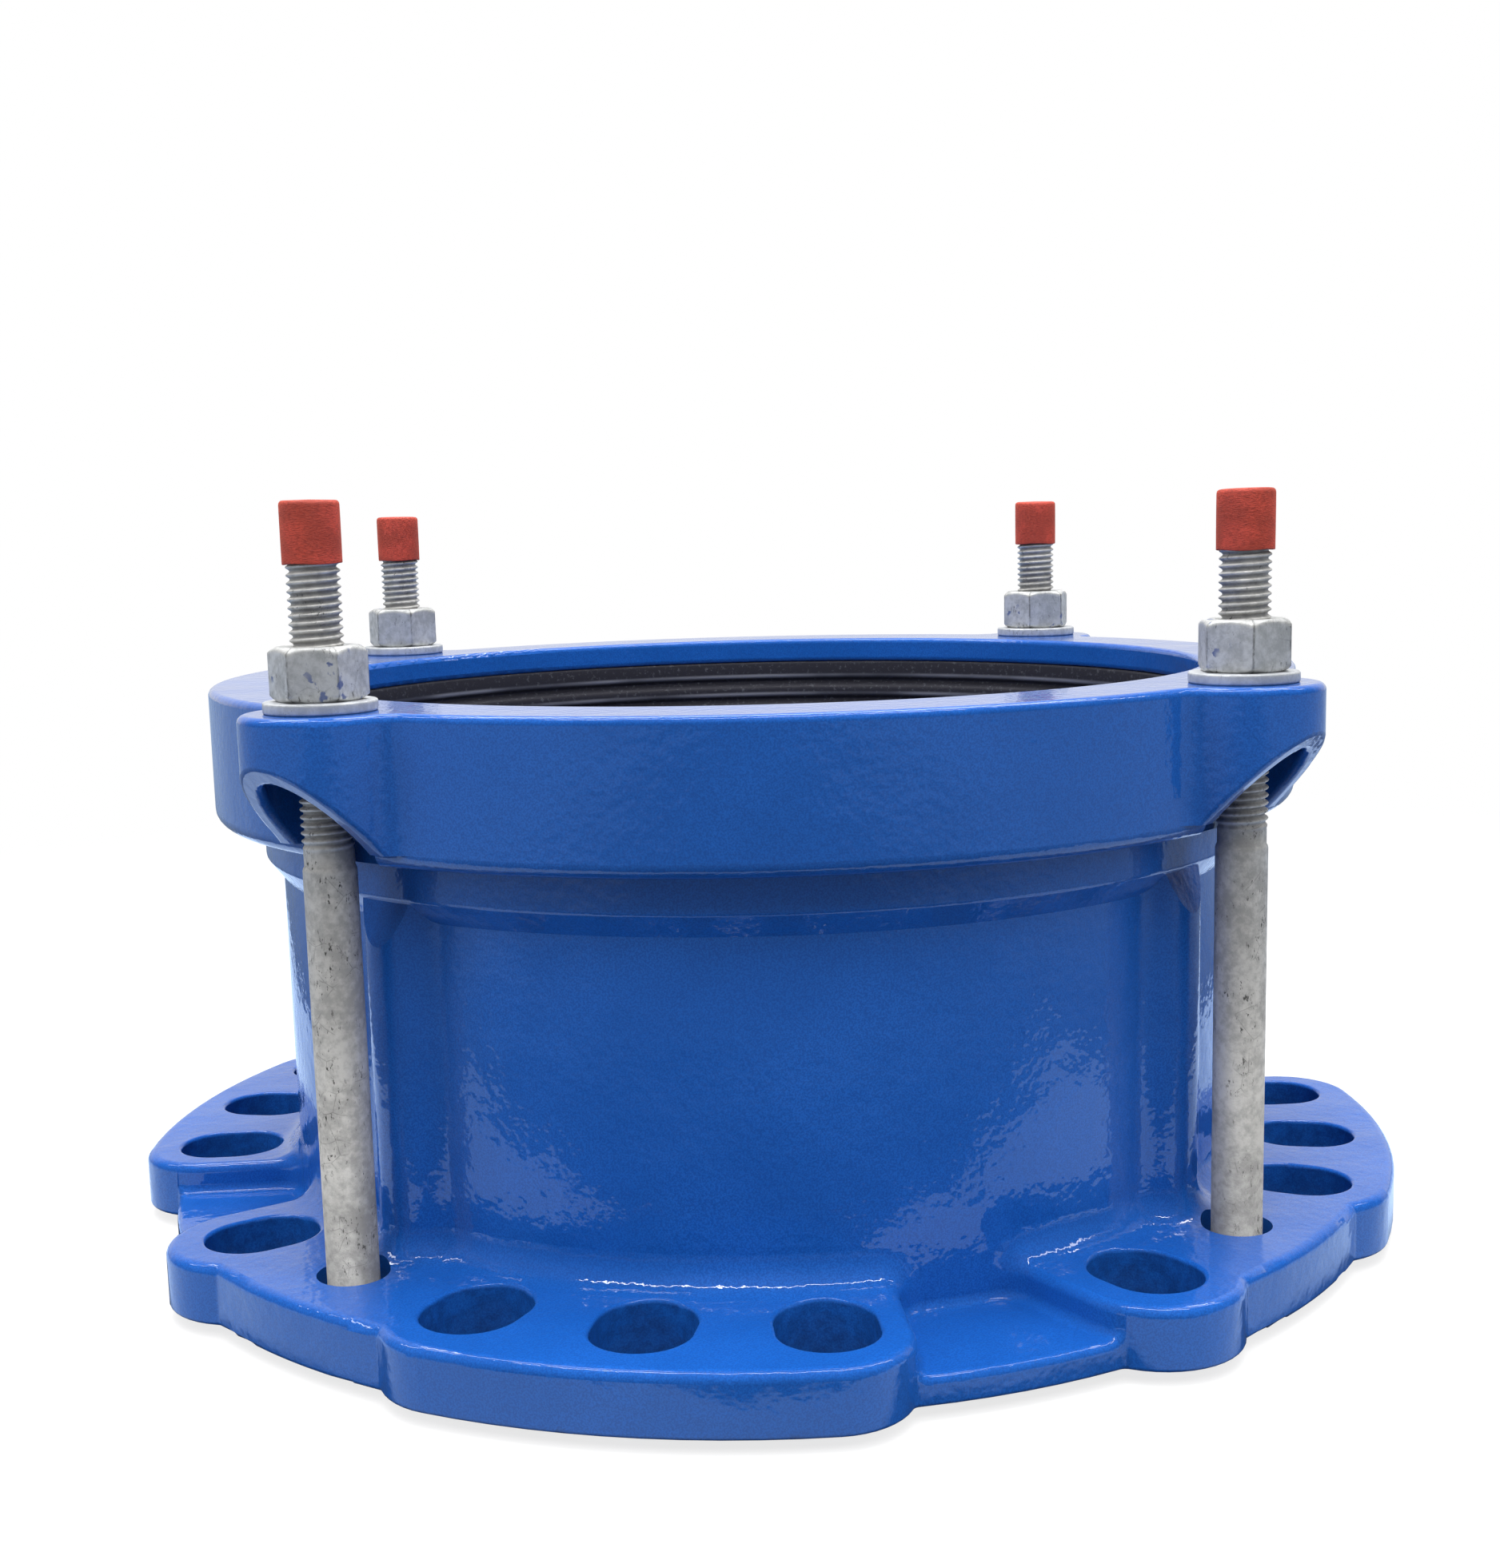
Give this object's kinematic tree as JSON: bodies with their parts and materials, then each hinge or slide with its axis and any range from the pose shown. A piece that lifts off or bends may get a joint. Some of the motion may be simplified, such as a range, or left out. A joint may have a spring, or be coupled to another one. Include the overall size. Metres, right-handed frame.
{
  "type": "universal flange adaptor",
  "caption": "Cast sleeve on a slotted flange, with a bolted compression ring that squeezes a rubber wedge gasket to grip and seal a pipe end.",
  "frame": {"origin": "centre of the sealing face, the raised face under the flange", "axes": "+Z along the pipe's axis, from the flange towards the compression ring; +X through the middle of a single slot"},
  "size_m": [0.3404, 0.3404, 0.191],
  "materials": {
    "blue_epoxy": "glossy epoxy coat with a light orange peel, over cast iron",
    "galvanised_bolt": "dull hot dip zinc with dark specks",
    "galvanised_nut": "dull hot dip zinc, mottled",
    "red_plastic": "soft moulded plastic",
    "black_rubber": "moulded black rubber with a satin bloom on its ridges"
  },
  "bodies": {
    "flange": {"flange_body": "blue_epoxy", "gasket": "black_rubber", "tie_bolt_1": "galvanised_bolt", "tie_bolt_2": "galvanised_bolt", "tie_bolt_3": "galvanised_bolt", "tie_bolt_4": "galvanised_bolt"},
    "ring": {"compression_ring": "blue_epoxy", "washer_1": "galvanised_nut", "washer_2": "galvanised_nut", "washer_3": "galvanised_nut", "washer_4": "galvanised_nut"},
    "nut_1": {"nut_1": "galvanised_nut"},
    "cap_1": {"cap_1": "red_plastic"},
    "nut_2": {"nut_2": "galvanised_nut"},
    "cap_2": {"cap_2": "red_plastic"},
    "nut_3": {"nut_3": "galvanised_nut"},
    "cap_3": {"cap_3": "red_plastic"},
    "nut_4": {"nut_4": "galvanised_nut"},
    "cap_4": {"cap_4": "red_plastic"}
  },
  "joints": [
    {"name": "ring_slide", "type": "slide", "parent": "flange", "child": "ring", "axis": [0, 0, -1], "range_m": [0, 0.01], "deforming": ["gasket"]},
    {"name": "nut_1_turn", "type": "hinge", "parent": "ring", "child": "nut_1", "pos_m": [0.14054, 0.03766, 0.1539], "axis": [0, 0, -1], "range_deg": [0, 2058]},
    {"name": "nut_2_turn", "type": "hinge", "parent": "ring", "child": "nut_2", "pos_m": [-0.03766, 0.14054, 0.1539], "axis": [0, 0, -1], "range_deg": [0, 2058]},
    {"name": "nut_3_turn", "type": "hinge", "parent": "ring", "child": "nut_3", "pos_m": [-0.14054, -0.03766, 0.1539], "axis": [0, 0, -1], "range_deg": [0, 2058]},
    {"name": "nut_4_turn", "type": "hinge", "parent": "ring", "child": "nut_4", "pos_m": [0.03766, -0.14054, 0.1539], "axis": [0, 0, -1], "range_deg": [0, 2058]},
    {"name": "cap_1_lift", "type": "slide", "parent": "flange", "child": "cap_1", "axis": [0, 0, 1], "range_m": [0, 0.016]},
    {"name": "cap_2_lift", "type": "slide", "parent": "flange", "child": "cap_2", "axis": [0, 0, 1], "range_m": [0, 0.016]},
    {"name": "cap_3_lift", "type": "slide", "parent": "flange", "child": "cap_3", "axis": [0, 0, 1], "range_m": [0, 0.016]},
    {"name": "cap_4_lift", "type": "slide", "parent": "flange", "child": "cap_4", "axis": [0, 0, 1], "range_m": [0, 0.016]}
  ],
  "couplings": [
    {"joint": "nut_1_turn", "follows": "ring_slide", "rad_per_m": 3590.4},
    {"joint": "nut_2_turn", "follows": "ring_slide", "rad_per_m": 3590.4},
    {"joint": "nut_3_turn", "follows": "ring_slide", "rad_per_m": 3590.4},
    {"joint": "nut_4_turn", "follows": "ring_slide", "rad_per_m": 3590.4}
  ]
}
